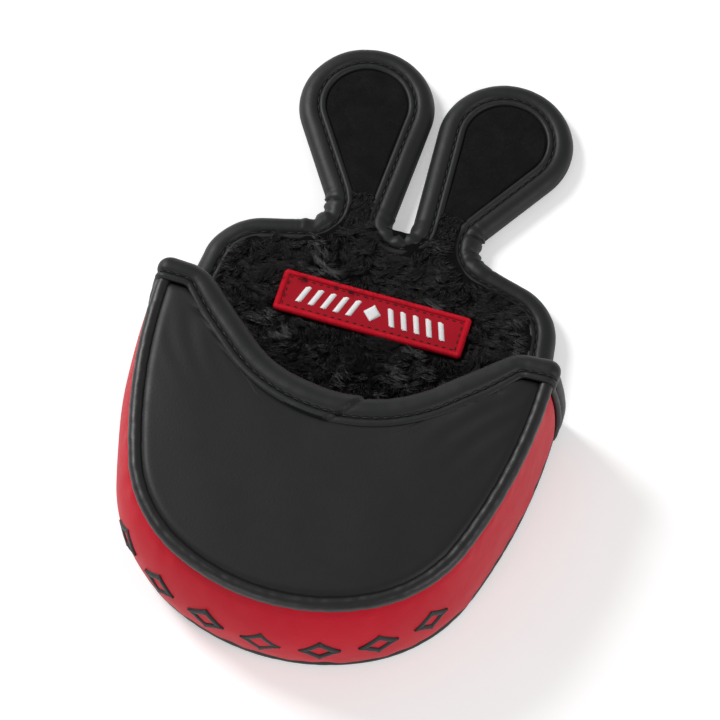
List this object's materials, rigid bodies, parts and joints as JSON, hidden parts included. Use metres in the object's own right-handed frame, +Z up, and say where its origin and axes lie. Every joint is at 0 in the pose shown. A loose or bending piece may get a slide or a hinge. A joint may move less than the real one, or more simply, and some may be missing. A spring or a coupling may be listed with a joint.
{
  "type": "putter head cover",
  "caption": "Padded pouch for a mallet putter head, with a fold-up flap and two magnetic ears that close round the shaft.",
  "frame": {"origin": "middle of the open cover's footprint, on the surface that it lies on", "axes": "+Y from the pouch's toe towards the ears, +X across the mouth, +Z up from the base to the top panel"},
  "size_m": [0.1298, 0.2047, 0.038],
  "materials": {
    "panel_leather": "smooth coated leather, soft satin",
    "wall_leather": "smooth coated leather, satin, fine grain",
    "piping_leather": "thin leather drawn tight over a cord",
    "binding_leather": "thin leather binding, folded and topstitched",
    "fleece": "short plush fleece, black",
    "velvet": "short-pile velvet, black",
    "foam": "soft padding foam",
    "piping_cord": "twisted filler cord",
    "magnet": "nickel-plated disc magnet",
    "patch_twill": "woven twill, red",
    "border_thread": "overlocked embroidery thread, red",
    "emblem_thread": "satin-stitched embroidery thread, white",
    "wall_thread": "satin-stitched embroidery thread, black"
  },
  "bodies": {
    "pouch": {"top_skin": "panel_leather", "top_foam": "foam", "top_lining": "fleece", "wall_skin": "wall_leather", "wall_foam": "foam", "wall_lining": "fleece", "base_skin": "panel_leather", "base_foam": "foam", "base_lining": "fleece", "top_piping_cover": "piping_leather", "top_piping_cord": "piping_cord", "base_piping_cover": "piping_leather", "base_piping_cord": "piping_cord", "mouth_binding": "binding_leather", "left_keeper_magnet": "magnet", "right_keeper_magnet": "magnet", "wall_embroidery": "wall_thread"},
    "flap": {"flap_skin": "panel_leather", "flap_foam": "foam", "flap_lining": "fleece", "flap_binding": "binding_leather", "patch_cloth": "patch_twill", "patch_border": "border_thread", "patch_emblem": "emblem_thread"},
    "left_ear": {"left_ear_skin": "panel_leather", "left_ear_foam": "foam", "left_ear_pad": "velvet", "left_ear_fleece": "fleece", "left_ear_binding": "binding_leather", "left_ear_magnet": "magnet"},
    "right_ear": {"right_ear_skin": "panel_leather", "right_ear_foam": "foam", "right_ear_pad": "velvet", "right_ear_fleece": "fleece", "right_ear_binding": "binding_leather", "right_ear_magnet": "magnet"}
  },
  "joints": [
    {"name": "flap_fold", "type": "hinge", "parent": "pouch", "child": "flap", "pos_m": [0, 0.00032, 0.007], "axis": [1, 0, 0], "range_deg": [0, 90]},
    {"name": "left_ear_fold", "type": "hinge", "parent": "flap", "child": "left_ear", "pos_m": [-0.0137, 0.04256, 0.007], "axis": [1, 0, 0], "range_deg": [0, 100.9]},
    {"name": "right_ear_fold", "type": "hinge", "parent": "flap", "child": "right_ear", "pos_m": [0.0137, 0.04256, 0.007], "axis": [1, 0, 0], "range_deg": [0, 100.9]}
  ]
}
